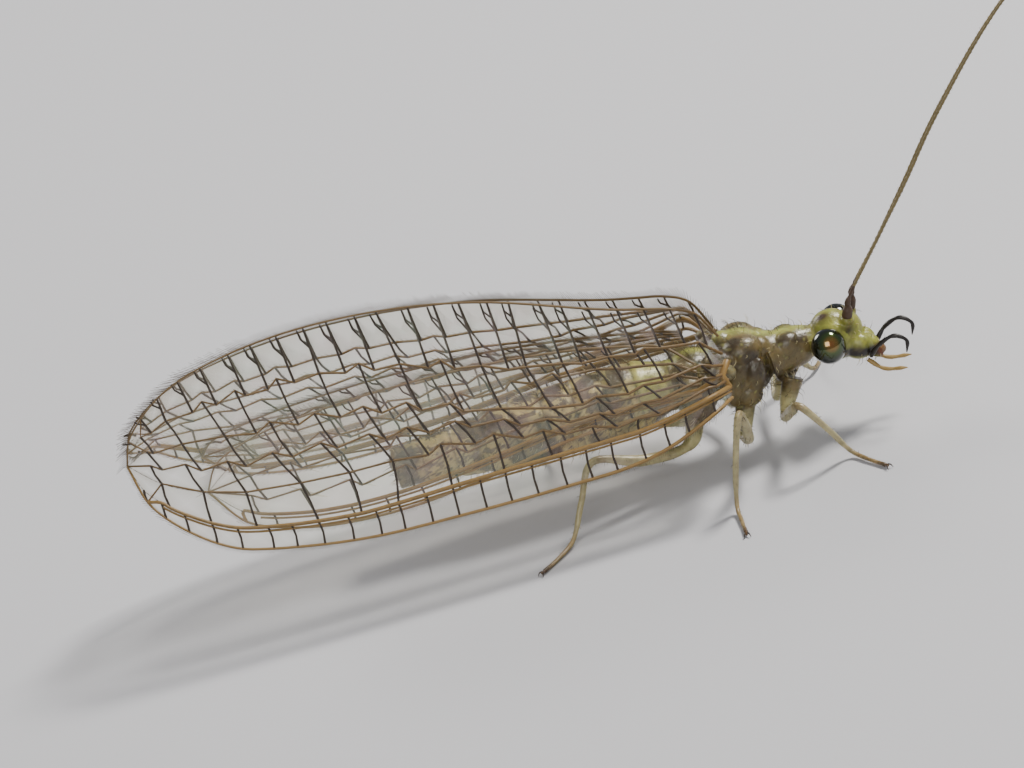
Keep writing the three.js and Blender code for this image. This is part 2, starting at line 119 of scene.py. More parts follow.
# Forms of the thorax: a place (x, out, up from the axis), radii and a pitch. The pairs are shoulders, bumps,
# rear shoulder, flanks, front lobe and wing roots.
TRUNK = [((0.38, 0, 0), (0.78, 0.74, 0.8), 0), ((-0.62, 0, -0.02), (0.66, 0.66, 0.68), 0),
         ((-1.15, 0, -0.02), (0.4, 0.58, 0.56), 0)]
BUMPS = [((0.75 - 0.2 * k, 0.66 + 0.03 * (k % 2), 0.16 - 0.2 * (k % 3)), (0.13, 0.11, 0.14), 0)
         for k in range(9)]
THORAX_PAIRS = [
    ((0.5, 0.34, 0.42), (0.46, 0.4, 0.36), 0), ((0.86, 0.22, 0.34), (0.3, 0.3, 0.26), 0),
    ((0.0, 0.46, 0.34), (0.42, 0.32, 0.3), 0), *BUMPS, ((-0.75, 0.36, 0.34), (0.32, 0.3, 0.3), 0),
    ((0.62, 0.58, -0.1), (0.26, 0.26, 0.46), 0.25), ((0.14, 0.58, -0.2), (0.24, 0.26, 0.5), 0.25),
    ((-0.42, 0.58, -0.16), (0.22, 0.26, 0.42), 0.25), ((-0.86, 0.58, -0.22), (0.22, 0.26, 0.38), 0.25),
    ((0.4, 0.58, -0.5), (0.3, 0.26, 0.28), 0.25), ((-0.66, 0.58, -0.5), (0.28, 0.26, 0.26), 0.25),
    ((1.5, 0.2, 0.16), (0.34, 0.28, 0.32), 0), ((-0.05, 0.98, 0.36), (0.3, 0.22, 0.2), 0.2),
    ((-0.78, 0.86, 0.26), (0.26, 0.2, 0.17), 0.2),
]
SCUTELLUM = [((0.16, 0, 0.66), (0.22, 0.26, 0.2), 0)]
NECK = [(1.05, 0, 2.02), (1.5, 0, 2.04), (1.98, 0, 2.08), (2.3, -0.02, 2.08)]
NECK_RADII = [(0, 0.6), (0.2, 0.5), (0.6, 0.44), (0.78, 0.34), (1, 0.28)]

# The head; its forms are a place (forward, left, up) from HEAD, radii and a pitch
HEAD = Vector((2.52, 0.0, 2.05))
HEAD_YAW = 0.34
HEAD_PAIRS = [((0.1, 0.24, -0.02), (0.42, 0.32, 0.46), 0), ((0.52, 0.16, -0.28), (0.34, 0.24, 0.3), 0),
              ((0.44, 0.2, 0.4), (0.15, 0.15, 0.12), 0), ((0.84, 0.14, -0.5), (0.2, 0.09, 0.1), 0.5)]
HEAD_MIDDLE = [((0, 0, 0.04), (0.52, 0.46, 0.56), 0), ((0.34, 0, 0.12), (0.34, 0.34, 0.4), 0),
               ((0.66, 0, -0.34), (0.34, 0.26, 0.26), 0.5), ((0.92, 0, -0.46), (0.17, 0.17, 0.1), 0.6)]
EYE_PLACE = (0, 0.58, 0.02)
EYE_RADII = (0.38, 0.36, 0.4)
# The eye's painted copper highlight is centred on the glint's direction. A row of the eye's colour table is
# the distance from that direction and a colour; the copper darkens into the eye's own dark green-bronze.
EYE_GLINT = (0.1, 0.9, 0.42)
EYE_COLOURS_AND_HIGHLIGHT = [(0, (150, 84, 40)), (0.05, (128, 96, 36)), (0.16, (58, 76, 28)), (0.4, (20, 30, 16)),
               (1.1, (8, 9, 7))]

# Legs by their joints, from the body to the claws
LEGS = {
    "front_right": [(1.42, -0.3, 1.5), (1.02, -0.5, 0.78), (1.14, -1.3, 1.22), (1.3, -2.05, 1.62),
                    (1.74, -2.0, 0.9), (2.11, -1.86, 0.16), (2.4, -2.33, 0.08), (2.69, -2.81, 0.07)],
    "front_left": [(1.42, 0.3, 1.5), (1.02, 0.5, 0.78), (1.18, 1.3, 0.98), (1.36, 2.0, 1.12),
                   (1.75, 2.3, 0.64), (2.05, 2.6, 0.16), (2.25, 3.0, 0.08), (2.4, 3.45, 0.07)],
    "mid_right": [(0.3, -0.45, 1.4), (0.05, -0.8, 0.8), (0.08, -1.75, 1.12), (-0.03, -2.62, 2.14),
                  (-0.36, -2.75, 1.2), (-0.61, -2.85, 0.17), (-0.62, -3.35, 0.08), (-0.62, -3.94, 0.07)],
    "mid_left": [(0.3, 0.45, 1.4), (0.05, 0.8, 0.8), (-0.05, 1.6, 0.95), (-0.2, 2.4, 1.2),
                 (-0.4, 2.65, 0.68), (-0.55, 2.85, 0.16), (-0.6, 3.2, 0.08), (-0.64, 3.7, 0.07)],
    "hind_right": [(-0.82, -0.3, 1.4), (-1.12, -0.6, 0.85), (-2.2, -1.1, 1.02), (-3.3, -1.28, 1.42),
                   (-3.75, -1.68, 0.8), (-4.17, -2.1, 0.17), (-4.55, -2.5, 0.08), (-4.96, -2.91, 0.07)],
    "hind_left": [(-0.82, 0.3, 1.4), (-1.12, 0.6, 0.85), (-2.2, 1.1, 1.0), (-3.25, 1.3, 1.38),
                  (-3.7, 1.75, 0.8), (-4.1, 2.2, 0.17), (-4.5, 2.7, 0.08), (-4.85, 3.1, 0.07)],
}
FEMUR_RADIUS = 0.115
HIND_FEMUR_RADIUS = 0.125
LEG_STEPS = 60
CLAW_COLOUR = (42, 28, 18)
PAD_COLOUR = (90, 66, 40)

# Body hair
HAIR_TRIES = 2600
HAIR_RADII = (0.006, 0.0045, 0.0015)

# Feelers, and palps with their radius, number of swells and colour
FEELER_BASE = [(0.44, 0.2, 0.42), (0.54, 0.24, 0.68), (0.6, 0.27, 0.88)]
ANTENNAE = {
    -1: [(3.95, -0.5, 4.15), (4.8, -0.62, 5.24), (5.84, -0.8, 6.67), (7.88, -1.3, 9.04), (10.2, -1.9, 10.75)],
    1: [(3.98, 0.34, 3.75), (4.86, 0.55, 4.75), (5.9, 0.8, 5.95), (7.9, 1.2, 7.83), (10.15, 1.75, 9.15)],
}
FEELER_RADII = [(0, 0.09), (0.1, 0.12), (0.26, 0.11), (0.36, 0.06), (0.42, 0.075), (0.52, 0.06), (0.6, 0.036),
                (6, 0.03), (11.5, 0.016)]
FEELER_STEPS = 720
BASE_STEPS = 55
THREAD_START = 0.6
RING_LENGTH = 0.13
PALP_STEPS = 60
PALP_TAPER = [(0, 1.1), (0.85, 0.85), (1, 0.3)]
PALPS = [
    ("maxillary", [(0.78, 0.3, -0.5), (1.05, 0.42, -0.2), (1.42, 0.42, -0.04), (1.66, 0.4, -0.2),
                   (1.6, 0.4, -0.48)], 0.042, 4, (22, 16, 12)),
    ("labial", [(0.66, 0.2, -0.62), (0.98, 0.26, -0.86), (1.5, 0.3, -0.9)], 0.04, 3, (150, 122, 66)),
]

# Wings: a point is its way back from the root and up the slope. Long veins are shares of the way from the
# costa, the lower margin, to the upper one.
SLOPE = math.radians(65)
FORE_COSTA = [(0.02, 1.21), (0.63, 0.94), (1.55, 0.61), (2.42, 0.45), (4.12, 0.44), (6.16, 0.5), (8.23, 0.62),
              (9.93, 0.91), (11.1, 1.26), (12.13, 2.07), (12.72, 2.93), (12.8, 3.45)]
FORE_HIND = [(-0.08, 2.45), (0.27, 3.02), (2.13, 3.7), (4.81, 4.72), (7.13, 5.18), (9.37, 5.25),
             (11.21, 4.94), (12.01, 4.54), (12.64, 3.93), (12.8, 3.45)]
FORE_VEINS = [
    [0.18, 0.2, 0.2, 0.175, 0.155, 0.135, 0.115, 0.11, 0.115, 0.13, 0.15],
    [0.3, 0.27, 0.28, 0.31, 0.34, 0.33, 0.31, 0.3, 0.3, 0.32, 0.34],
    [0.4, 0.38, 0.36, 0.37, 0.42, 0.44, 0.45, 0.45, 0.45, 0.46, 0.48],
    [0.52, 0.5, 0.47, 0.44, 0.49, 0.55, 0.58, 0.59, 0.6, 0.61, 0.62],
    [0.7, 0.72, 0.7, 0.66, 0.69, 0.74, 0.77, 0.78, 0.79, 0.8, 0.82],
]
FORE_CELLS = [24, 13, 14, 14, 16, 25]
FORE_SEED = 7
HIND_COSTA = [(0.62, 1.45), (1.5, 1.38), (3.5, 1.36), (5.5, 1.1), (7.5, 0.98), (9.3, 1.16), (10.6, 1.62),
              (11.25, 2.2), (11.34, 2.55)]
HIND_HIND = [(0.58, 2.1), (0.9, 2.5), (2.2, 2.95), (4.0, 3.3), (6.2, 3.5), (8.4, 3.52), (10.2, 3.35),
             (11.15, 2.95), (11.34, 2.55)]
HIND_VEINS = [
    [0.16, 0.17, 0.16, 0.15, 0.14, 0.14, 0.15],
    [0.34, 0.32, 0.32, 0.32, 0.32, 0.33, 0.35],
    [0.54, 0.52, 0.54, 0.56, 0.58, 0.6, 0.62],
    [0.74, 0.74, 0.76, 0.77, 0.78, 0.8, 0.82],
]
HIND_CELLS = [14, 10, 10, 11, 18]
HIND_SEED = 11

# The wings' distance from the body's axis, and its growth near the root
FORE_STANDOFF = (1.44, 0.66)
HIND_STANDOFF = (1.32, 0)
SPREAD_START = -0.05
SPREAD_LENGTH = 0.47

# How the upper margins fold towards the midline and down, left (1) and right (-1)
FOLD_START = 0.5
FOLD_IN = {1: 0.7, -1: 0.25}
FOLD_DOWN = {1: 0.3, -1: 0}

# The net: the spacing and slant of its ties, and the zigzag of its long veins
TIE_JITTER = 0.22
END_SPACE = 0.25
BASAL_TIE = 0.038
LAST_TIE = 0.965
WIDE_STRIP = 18
LEAN = [0.002, 0.004, 0.012, 0.012, 0.01, 0.008]
SAME_NODE = 0.011
ZIGZAG = 0.085
LEHMER_FACTOR = 16807
LEHMER_PRIME = 2147483647
CELL_CROWN = 0.014

# Veins: the inner ones' ends, the forks by the upper margin, and each kind's share of the radius and colour
INNER_END = 0.93
END_STEP = 0.035
TIE_END = 0.955
TIE_BOW = 0.03
FORK_START = 0.06
FORK_AT = 0.55
FORK_SPREAD = np.array([0.14, 0])
COSTA = (1.35, (128, 100, 52))
RADIUS = (2.0, (128, 100, 52))
BESIDE = (0.95, (128, 100, 52))
BESIDE_GAP = 0.09
INNER = (1.1, (104, 80, 44))
UPPER = (1.0, (104, 82, 48))
TIE_COLOUR = (40, 27, 15)

Net = namedtuple("Net", "points loops lines ties")


def linear(colour):
    """An sRGB colour of 0 to 255 as linear values."""
    parts = [value / 255 for value in colour]
    return [v / 12.92 if v <= 0.04045 else ((v + 0.055) / 1.055) ** 2.4 for v in parts]


def ease(t):
    """Rises smoothly from 0 to 1 as t does, and stays there."""
    t = min(max(t, 0), 1)
    return t * t * (3 - 2 * t)


def ramp(values, start, width):
    """Rises from 0 at start to 1 a width further on, which may be backwards."""
    return np.clip((values - start) / width, 0, 1)


def bell(values, middle, width):
    """Falls off smoothly to both sides of the middle."""
    return np.exp(-((values - middle) / width) ** 2)


def read_rows(rows, at):
    """Values between the rows of a table of (place, value)."""
    return np.interp(at, [row[0] for row in rows], [row[1] for row in rows])


def head_point(forward, left, up):
    """A place given forward, left and up from the head's centre."""
    c, s = math.cos(HEAD_YAW), math.sin(HEAD_YAW)
    return HEAD + Vector((forward * c + left * s, -forward * s + left * c, up))


def lengths_along(path):
    """The length of a path up to each of its points."""
    return np.concatenate([[0], np.cumsum(np.linalg.norm(np.diff(path, axis=0), axis=1))])


def between(start, end, a, b, u):
    """The value at u on the line from a at start to b at end."""
    return (end - u) / (end - start) * a + (u - start) / (end - start) * b


def smooth_path(points, count):
    """Points along a centripetal Catmull-Rom curve: that many at equal steps, or at a list of shares."""
    steps = 30
    p = np.array([list(q) for q in points], float)
    p = np.vstack([2 * p[0] - p[1], p, 2 * p[-1] - p[-2]])
    dense = []
    for i in range(1, len(p) - 2):
        t = [0.0]
        for k in range(3):
            t.append(t[-1] + max(np.linalg.norm(p[i + k] - p[i + k - 1]), 1e-6) ** 0.5)
        for step in range(steps):
            u = t[1] + (t[2] - t[1]) * step / steps
            a = [between(t[k], t[k + 1], p[i - 1 + k], p[i + k], u) for k in range(3)]
            b = [between(t[k], t[k + 2], a[k], a[k + 1], u) for k in range(2)]
            dense.append(between(t[1], t[2], b[0], b[1], u))
    dense.append(p[-2])
    dense = np.array(dense)
    length = lengths_along(dense)
    want = np.linspace(0, length[-1], count) if isinstance(count, int) else np.array(count) * length[-1]
    return np.stack([np.interp(want, length, dense[:, k]) for k in range(dense.shape[1])], axis=1)


def link_object(name, data):
    """A new object in the scene."""
    thing = bpy.data.objects.new(name, data)
    bpy.context.scene.collection.objects.link(thing)
    return thing


def store_mesh(name, points, faces, edges=()):
    """A new mesh object from points in the model's millimetres."""
    mesh = bpy.data.meshes.new(name)
    mesh.from_pydata([tuple(p) for p in points], list(edges), list(faces))
    mesh.update()
    return link_object(name, mesh)


def store_bmesh(name, bm):
    """A new mesh object from a bmesh, which is freed."""
    mesh = bpy.data.meshes.new(name)
    bm.to_mesh(mesh)
    bm.free()
    return link_object(name, mesh)


def to_frame(thing):
    """Moves a mesh's points from the model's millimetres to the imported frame's metres."""
    thing.data.transform(Matrix.Scale(MM, 4) @ Matrix.Translation((SHIFT_X, 0, 0)))
    thing.data.update()


def bake_modifiers(thing):
    """Turns an object's modifiers into plain mesh."""
    graph = bpy.context.evaluated_depsgraph_get()
    mesh = bpy.data.meshes.new_from_object(thing.evaluated_get(graph))
    old = thing.data
    thing.modifiers.clear()
    thing.data = mesh
    mesh.name = thing.name
    bpy.data.meshes.remove(old)


def store_values(mesh, name, values):
    """Stores one number per point as a named attribute."""
    layer = mesh.attributes.new(name, "FLOAT", "POINT")
    layer.data.foreach_set("value", np.array(values, np.float32))


def paint(mesh, colours):
    """Stores one linear colour per point as the attribute Tint."""
    layer = mesh.attributes.new("Tint", "FLOAT_COLOR", "POINT")
    rgba = np.ones((len(mesh.vertices), 4), np.float32)
    rgba[:, :3] = colours
    layer.data.foreach_set("color", rgba.ravel())


def finish_piece(thing, nodes=(), coat=False):
    """Declares a finished piece to the frame."""
    if coat and not thing.data.uv_layers:
        thing.data.uv_layers.new(name="OFBake")
    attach(thing, "root")
    if nodes:
        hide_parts(*nodes)


def set_inputs(node, values):
    """Sets inputs of a node that nothing is linked to."""
    for key, value in values.items():
        node.inputs[key].default_value = value


def wire(tree, rows):
    """Links sockets; a row is a node and its output, then a node and its input."""
    for source, output, target, entry in rows:
        tree.links.new(source.outputs[output], target.inputs[entry])


def add_nodes(tree, kinds):
    """New nodes by their kinds' names, which leave out the tree's own prefix."""
    prefix = tree.bl_idname.removesuffix("Tree")
    return [tree.nodes.new(prefix + kind) for kind in kinds.split()]


def sweep_tree():
    """Geometry nodes that sweep a round section along every edge chain, as thick as its radius attribute."""
    tree = bpy.data.node_groups.get("StrandSweep")
    if tree:
        return tree
    tree = bpy.data.node_groups.new("StrandSweep", "GeometryNodeTree")
    for name, way, kind in (("Geometry", "INPUT", "Geometry"), ("Sides", "INPUT", "Int"),
                            ("Material", "INPUT", "Material"), ("Geometry", "OUTPUT", "Geometry")):
        tree.interface.new_socket(name, in_out=way, socket_type=f"NodeSocket{kind}")
    source, out = tree.nodes.new("NodeGroupInput"), tree.nodes.new("NodeGroupOutput")
    chain, named, circle, sweep, real, dress = add_nodes(
        tree, "MeshToCurve InputNamedAttribute CurvePrimitiveCircle CurveToMesh RealizeInstances SetMaterial")
    named.data_type = "FLOAT"
    set_inputs(named, {"Name": "radius"})
    set_inputs(circle, {"Radius": 1})
    set_inputs(sweep, {"Fill Caps": True})
    wire(tree, [(source, "Geometry", chain, "Mesh"), (named, "Attribute", sweep, "Scale"),
                (source, "Sides", circle, "Resolution"), (chain, "Curve", sweep, "Curve"),
                (circle, "Curve", sweep, "Profile Curve"), (sweep, "Mesh", real, "Geometry"),
                (real, "Geometry", dress, "Geometry"), (source, "Material", dress, "Material"),
                (dress, "Geometry", out, "Geometry")])
    return tree


def strands(name, lines, sides, surface):
    """Sweeps lines of (points, radii, colour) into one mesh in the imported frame, with a named surface."""
    points, edges, radii, tints = [], [], [], []
    for path, widths, colour in lines:
        start = len(points)
        points.extend(tuple(p) for p in path)
        edges.extend((start + i, start + i + 1) for i in range(len(path) - 1))
        radii.extend(float(w) * MM for w in widths)
        tints.extend([colour] * len(path))
    thing = store_mesh(name, points, [], edges)
    to_frame(thing)
    store_values(thing.data, "radius", radii)
    paint(thing.data, np.array(tints, np.float32))
    modifier = thing.modifiers.new("Sweep", "NODES")
    modifier.node_group = sweep_tree()
    names = {item.name: item.identifier for item in modifier.node_group.interface.items_tree}
    modifier[names["Sides"]] = sides
    modifier[names["Material"]] = shader(surface)
    bake_modifiers(thing)
    thing.data.shade_smooth()
    return thing


def new_material(name):
    """A new material, its node tree and its surface node."""
    material = bpy.data.materials.new(name)
    material.use_nodes = True
    return material, material.node_tree, material.node_tree.nodes["Principled BSDF"]


def shader(name):
    """A painted surface: the Tint attribute, mottled and roughened by noise in the object's own space."""
    material = bpy.data.materials.get(name)
    if material:
        return material
    mottle, scale, depth, strength, others = FINISHES[name]
    material, tree, skin = new_material(name)
    place, noise, relief, tint, span, mix = add_nodes(tree, "TexCoord TexNoise Bump Attribute MapRange Mix")
    tint.attribute_name = "Tint"
    mix.data_type = "RGBA"
    mix.blend_type = "MULTIPLY"
    set_inputs(noise, {"Scale": scale, "Detail": 4})
    set_inputs(span, {"To Min": 1 - mottle, "To Max": 1 + mottle})
    set_inputs(mix, {"Factor": 1})
    set_inputs(relief, {"Distance": depth, "Strength": strength})
    set_inputs(skin, {"Coat Roughness": 0.2, **others})
    wire(tree, [(place, "Object", noise, "Vector"), (noise, "Fac", span, "Value"), (tint, "Color", mix, "A"),
                (span, "Result", mix, "B"), (mix, "Result", skin, "Base Color"),
                (noise, "Fac", relief, "Height"), (relief, "Normal", skin, "Normal")])
    return material


def membrane_shader(shine):
    """Clear wing membrane: mostly see-through, with a glossy, faintly coloured sheen."""
    material = bpy.data.materials.get("wing_membrane")
    if material:
        return material
    material, tree, plain = new_material("wing_membrane")
    tree.nodes.remove(plain)
    clear, veil, gloss = add_nodes(tree, "BsdfTransparent BsdfDiffuse BsdfGlossy")
    place, noise, sheen, tint = add_nodes(tree, "TexCoord TexNoise ValToRGB Attribute")
    veiled, shiny, edge, gain = add_nodes(tree, "MixShader MixShader Fresnel Math")
    tint.attribute_name = "Veil"
    gain.operation = "MULTIPLY_ADD"
    set_inputs(clear, {"Color": (0.95, 0.94, 0.9, 1)})
    set_inputs(veil, {"Color": (0.42, 0.36, 0.24, 1)})
    set_inputs(gloss, {"Roughness": 0.22})
    set_inputs(noise, {"Scale": 1500})
    set_inputs(edge, {"IOR": 1.35})
    set_inputs(gain, {1: EDGE_SHINE, 2: shine})
    for stop, (position, colour) in zip(sheen.color_ramp.elements, SHEEN):
        stop.position = position
        stop.color = colour
    wire(tree, [(place, "Object", noise, "Vector"), (noise, "Fac", sheen, "Fac"),
                (sheen, "Color", gloss, "Color"), (tint, "Fac", veiled, "Fac"), (clear, "BSDF", veiled, 1),
                (veil, "BSDF", veiled, 2), (edge, "Fac", gain, 0), (gain, "Value", shiny, "Fac"),
                (veiled, "Shader", shiny, 1), (gloss, "BSDF", shiny, 2),
                (shiny, "Shader", tree.nodes["Material Output"], "Surface")])
    return material


def net_node(u, pull):
    """A node on a line of the net: its share of the line, which way it is pulled, and its point's number."""
    return SimpleNamespace(u=u, pull=pull, index=None)


def node_at(nodes, u, pull):
    """The line's node at a share, new or shared with a tie that already ends there."""
    for node in nodes:
        if abs(node.u - u) < SAME_NODE:
            node.pull = 0
            return node
    nodes.append(net_node(u, pull))
    return nodes[-1]


def net_ties(lines, cells, seed):
    """The ties across each strip of cells, from root to tip, spaced with a little chance."""
    state, strips = seed, []
    for strip, count in enumerate(cells):
        below, above = lines[strip], lines[strip + 1]
        ties = [(below[0], above[0])]
        for i in range(1, count):
            state = (state * LEHMER_FACTOR) % LEHMER_PRIME
            u = min(LAST_TIE, (i + TIE_JITTER * (state / LEHMER_PRIME - 0.5)) / (count + END_SPACE))
            if i == 1 and count < WIDE_STRIP:
                u = BASAL_TIE
            low = node_at(below, u - LEAN[strip], -1)
            ties.append((low, node_at(above, u + LEAN[strip], 1)))
        ties.append((below[1], above[1]))
        strips.append(ties)
    return strips


def net_points(lines, costa, hind, shares):
    """Numbers the nodes and gives each one's place and share of the wing's length."""
    points = []
    for line, nodes in enumerate(lines):
        nodes.sort(key=lambda node: node.u)
        places = [node.u for node in nodes]
        low, high = smooth_path(costa, places), smooth_path(hind, places)
        table = shares[line]
        for k, node in enumerate(nodes):
            if node.u == 1.0 and line > 0:
                node.index = lines[0][-1].index
                continue
            share = np.interp(node.u * (len(table) - 1), range(len(table)), table)
            p = low[k] + (high[k] - low[k]) * share
            if 1 < line < len(lines) - 1:
                p[1] += ZIGZAG * node.pull * min(1, 5 * (1 - node.u), 0.15 + 1.9 * node.u)
            node.index = len(points)
            points.append(np.append(p, node.u))
    return points


def vein_net(costa, hind, veins, cells, seed):
    """The net of veins, laid out as in the solids: its points, the loops of its cells, lines and ties."""
    shares = [[0.0]] + veins + [[1.0]]
    lines = [[net_node(0.0, 0), net_node(1.0, 0)] for _ in shares]
    strips = net_ties(lines, cells, seed)
    points = net_points(lines, costa, hind, shares)
    loops, crossings = [], []
    for strip, ties in enumerate(strips):
        for i, (a, b) in enumerate(zip(ties, ties[1:])):
            lower = [n.index for n in lines[strip] if a[0].u <= n.u <= b[0].u]
            upper = [n.index for n in reversed(lines[strip + 1]) if a[1].u <= n.u <= b[1].u]
            loops.append(list(dict.fromkeys(lower + upper)))
            if i:
                crossings.append((strip, a[0].index, a[1].index, a[0].u))
    return Net(points, loops, [[n.index for n in nodes] for nodes in lines], crossings)


class Wing:
    """One wing: its net, how far it stands off the axis, and its side."""

    def __init__(self, net, standoff, side):
        self.net = net
        self.standoff = standoff
        self.side = side

    def place(self, p, height=0):
        """A point of the wing; p starts with the way back from the root and up the slope of the roof."""
        a, b = p[0], p[1]
        near, growth = self.standoff
        distance = near + growth * ease((a - SPREAD_START) / SPREAD_LENGTH) + height
        up = b - AXIS_Z * math.sin(SLOPE)
        y = -distance * math.sin(SLOPE) + up * math.cos(SLOPE)
        z = AXIS_Z + distance * math.cos(SLOPE) + up * math.sin(SLOPE)
        fold = ease((b / read_rows(FORE_HIND, a) - FOLD_START) / (1 - FOLD_START))
        y *= 1 - FOLD_IN[self.side] * fold
        return (-a, -self.side * y, z - FOLD_DOWN[self.side] * fold)

    def membrane(self):
        """Points, faces and veil of the membrane, each cell fanned from a slightly crowned middle."""
        points, rng = self.net.points, random.Random(len(self.net.loops))
        verts = [self.place(p) for p in points]
        veil = [0.04 + 0.3 * ramp(p[0], 8.0, 4) for p in points]
        faces = []
        for loop in self.net.loops:
            middle = np.mean([points[i] for i in loop], axis=0)
            hub = len(verts)
            verts.append(self.place(middle, rng.uniform(-CELL_CROWN, CELL_CROWN)))
            veil.append(0.0)
            faces.extend((loop[i], loop[(i + 1) % len(loop)], hub) for i in range(len(loop)))
        return verts, faces, veil

    def long_vein(self, k):
        """The path of long vein k; the inner ones leave off before the tip and bend to the margin."""
        points, lines = self.net.points, self.net.lines
        last = len(lines) - 1
        inner = 0 < k < last
        path = [self.place(points[i]) for i in lines[k] if not inner or points[i][2] < INNER_END]
        if inner:
            margin = lines[0] if 2 * k < last else lines[last]
            reach = 1 - END_STEP * abs(2 * k - last) / 2
            path.append(self.place(points[min(margin, key=lambda i: abs(points[i][2] - reach))]))
        return smooth_path(path, 5 * len(path)) if k in (0, 1, last) else path

    def vein_lines(self, width):
        """Every vein as a swept line; long veins are pale, crossveins dark."""
        points, lines = self.net.points, self.net.lines
        looks = {0: COSTA, 1: RADIUS, len(lines) - 1: UPPER}
        out = []
        for k, line in enumerate(lines):
            path = self.long_vein(k)
            share, colour = looks.get(k, INNER)
            radii = [share * width * (1.15 - 0.45 * i / len(path)) for i in range(len(path))]
            out.append((path, radii, linear(colour)))
            if k == 1:
                beside = [self.place((points[i][0], points[i][1] - BESIDE_GAP)) for i in line[:-2]]
                beside = smooth_path(beside, 4 * len(beside))
                out.append((beside, [width * BESIDE[0]] * len(beside), linear(BESIDE[1])))
        for tie in self.net.ties:
            out.extend(self.tie_lines(tie, width))
        out.append(self.swept([(-0.1, 1.9), (0.1, 1.7), points[lines[1][0]]], width, (3.2, 3, 2.4), COSTA[1]))
        return out

    def swept(self, places, width, shares, colour):
        """A line through places of the wing, as thick as its shares of the width."""
        return [self.place(p) for p in places], [width * share for share in shares], linear(colour)

    def tie_lines(self, tie, width):
        """One crossvein: bowed a little, or forked in the strip along the upper margin."""
        strip, low, high, u = tie
        final = len(self.net.lines) - 2
        if u > TIE_END and 0 < strip < final:
            return []
        p, q = self.net.points[low][:2], self.net.points[high][:2]
        if strip < final or u <= FORK_START:
            bow = (p + q) / 2 + np.array([TIE_BOW * math.sin(7 * u + strip), 0])
            return [self.swept([p, bow, q], width, (1.05, 0.9, 1.05), TIE_COLOUR)]
        fork = p + (q - p) * FORK_AT
        near = q + FORK_SPREAD
        arm = [fork, (fork + near) / 2 + (0.06, 0), near - (0, 0.02)]
        return [self.swept([p, fork, q], width, (1.05, 1, 0.8), TIE_COLOUR),
                self.swept(arm, width, (0.9, 0.8, 0.7), TIE_COLOUR)]

    def hair_lines(self, length):
        """A fringe round the margin and short bristles along the veins."""
        rng = random.Random(3)
        colour = linear((74, 60, 38))
        out = []
        for k, line in enumerate(self.net.lines):
            edge = k in (0, len(self.net.lines) - 1)
            reach = 0.45 if k == 0 else 1.0 if edge else 0.55
            path = smooth_path([self.net.points[i][:2] for i in line], 300 if edge else 120)
            for i in range(1, len(path) - 1):
                along = path[i + 1] - path[i - 1]
                along = along / np.linalg.norm(along)
                outward = np.array([-along[1], along[0]]) * (1 if k else -1)
                size = length * rng.uniform(0.7, 1.15) * reach
                if edge:
                    tip = path[i] + (outward * 0.8 + along * 0.75) * size
                    lift = rng.uniform(-0.02, 0.02)
                else:
                    tip = path[i] + along * size * 0.8
                    lift = size * 0.75
                out.append(([self.place(path[i]), self.place(tip, lift)], (0.009, 0.003), colour))
        return out


class Flesh:
    """Collects overlapping closed forms that are then fused into one skin."""

    def __init__(self):
        self.bm = bmesh.new()

    def add_rings(self, verts, sides):
        """Adds a closed form given as rings of points."""
        made = [self.bm.verts.new(v) for v in verts]
        rings = [made[k:k + sides] for k in range(0, len(made), sides)]
        for near, far in zip(rings, rings[1:]):
            for i in range(sides):
                j = (i + 1) % sides
                self.bm.faces.new([near[i], near[j], far[j], far[i]])
        self.bm.faces.new(rings[0][::-1])
        self.bm.faces.new(rings[-1])

    def ball(self, centre, radii, turn, pitch):
        """Adds an ellipsoid, pitched and then turned."""
        matrix = (Matrix.Translation(centre) @ Matrix.Rotation(turn, 4, "Z") @ Matrix.Rotation(pitch, 4, "Y")
                  @ Matrix.Diagonal((*radii, 1)))
        bmesh.ops.create_icosphere(self.bm, subdivisions=4, radius=1, matrix=matrix)

    def body_balls(self, forms, side=1):
        """Adds ellipsoids placed out to one side and up from the body's axis."""
        for (x, out, up), radii, pitch in forms:
            self.ball((x, side * out, AXIS_Z + up), radii, 0, pitch)

    def head_balls(self, forms, side=1):
        """Adds ellipsoids that are turned with the head."""
        for (forward, left, up), radii, pitch in forms:
            self.ball(head_point(forward, side * left, up), radii, -HEAD_YAW, pitch)

    def limb(self, points, radii, count, sides):
        """Adds a round limb along a smooth path; radii are (share, radius) rows."""
        path = smooth_path(points, count)
        widths = read_rows(radii, np.linspace(0, 1, count))
        verts = []
        normal = Vector((0.3, 0.2, 1)).normalized()
        for k in range(count):
            ahead = Vector(path[min(k + 1, count - 1)] - path[max(k - 1, 0)]).normalized()
            normal = (normal - ahead * normal.dot(ahead)).normalized()
            other = ahead.cross(normal)
            for i in range(sides):
                angle = 2 * math.pi * i / sides
                out = normal * math.cos(angle) + other * math.sin(angle)
                verts.append(Vector(path[k]) + out * widths[k])
        self.add_rings(verts, sides)


def add_abdomen(flesh):
    """The abdomen: ringed segments, each hind rim standing over the next, and the tail's two lobes."""
    verts = []
    for k in range(SEGMENTS):
        for part, swell in SEGMENT_RINGS:
            share = (k + part) / SEGMENTS
            waist = WAIST + (1 - WAIST) * ease(share / WAIST_LENGTH)
            taper = 1 - TAPER * ease((share - TAPER_START) / TAPER_LENGTH)
            radius = ABDOMEN_RADIUS * waist * taper * swell
            x = ABDOMEN_FRONT - ABDOMEN_LENGTH * share
            z = AXIS_Z - ABDOMEN_SAG * math.sin(math.pi * share)
            for i in range(RING_SIDES):
                angle = 2 * math.pi * i / RING_SIDES
                crease = 1 - CREASE_DEPTH * bell(math.sin(angle), CREASE_HEIGHT, CREASE_WIDTH)
                y = radius * ABDOMEN_WIDTH * crease * math.cos(angle)
                verts.append((x, y, z + radius * crease * math.sin(angle)))
    flesh.add_rings(verts, RING_SIDES)
    flesh.body_balls(TAIL)


